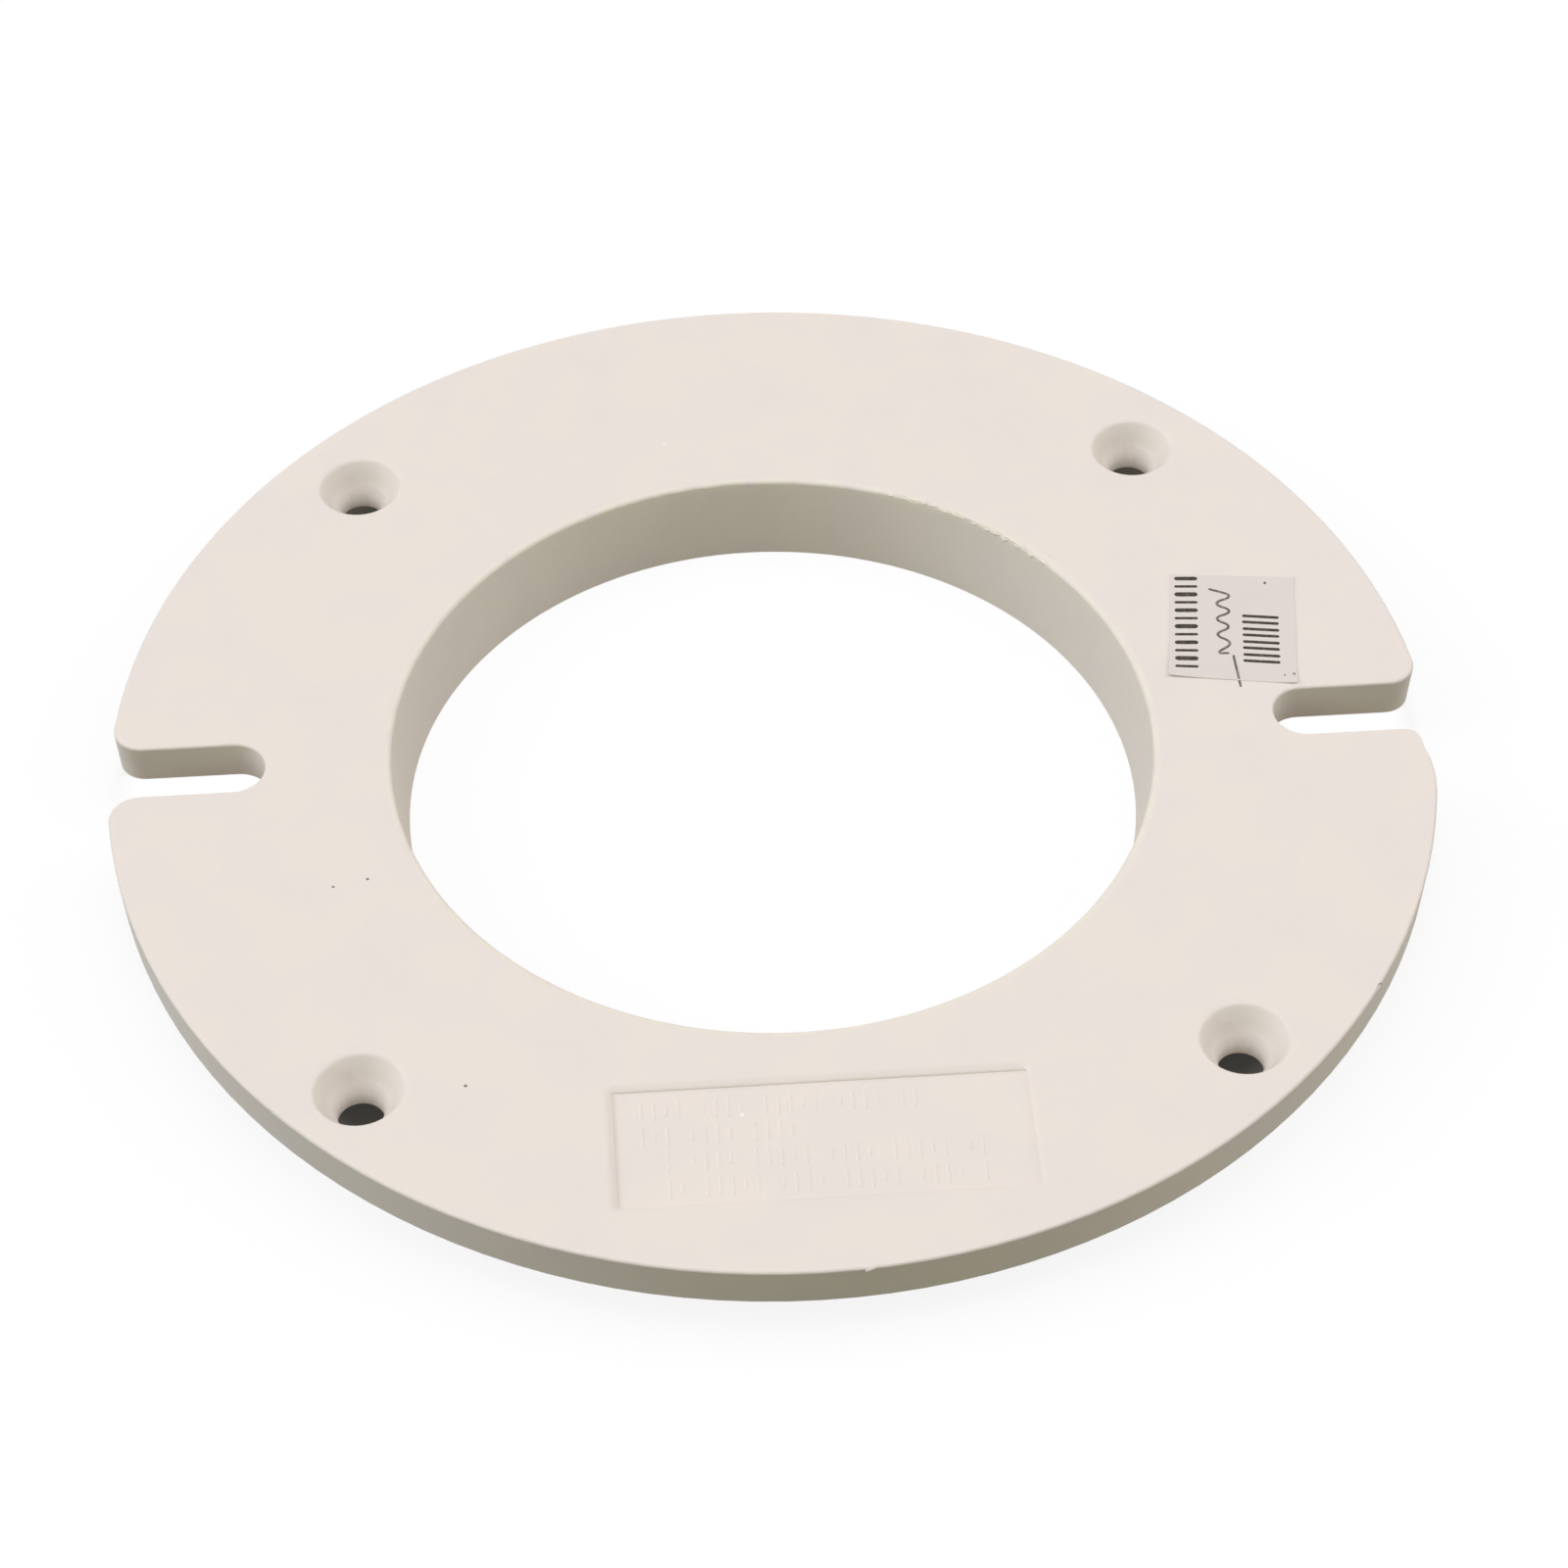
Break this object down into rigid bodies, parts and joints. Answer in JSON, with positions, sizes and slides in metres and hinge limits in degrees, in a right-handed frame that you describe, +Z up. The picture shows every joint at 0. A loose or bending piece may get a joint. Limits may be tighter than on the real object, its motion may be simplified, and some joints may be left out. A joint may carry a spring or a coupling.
{
  "type": "closet flange extension",
  "caption": "Flat plastic ring with a tapered throat, a locating collar below, open bolt slots and countersunk screw holes, used to raise a toilet's floor flange.",
  "frame": {"origin": "on the throat's axis, at the lower end of the collar, which is what the ring stands on", "axes": "+Z up along the throat's axis, from the collar to the face that carries the toilet; the two bolt slots lie along X; the recessed panel lies towards -Y"},
  "size_m": [0.177, 0.1778, 0.0122],
  "materials": {
    "ring_plastic": "matte off-white moulded plastic",
    "label_paper": "thin matte paper sticker with plain grey bars"
  },
  "bodies": {
    "root": {"flange_ring": "ring_plastic"}
  },
  "joints": []
}
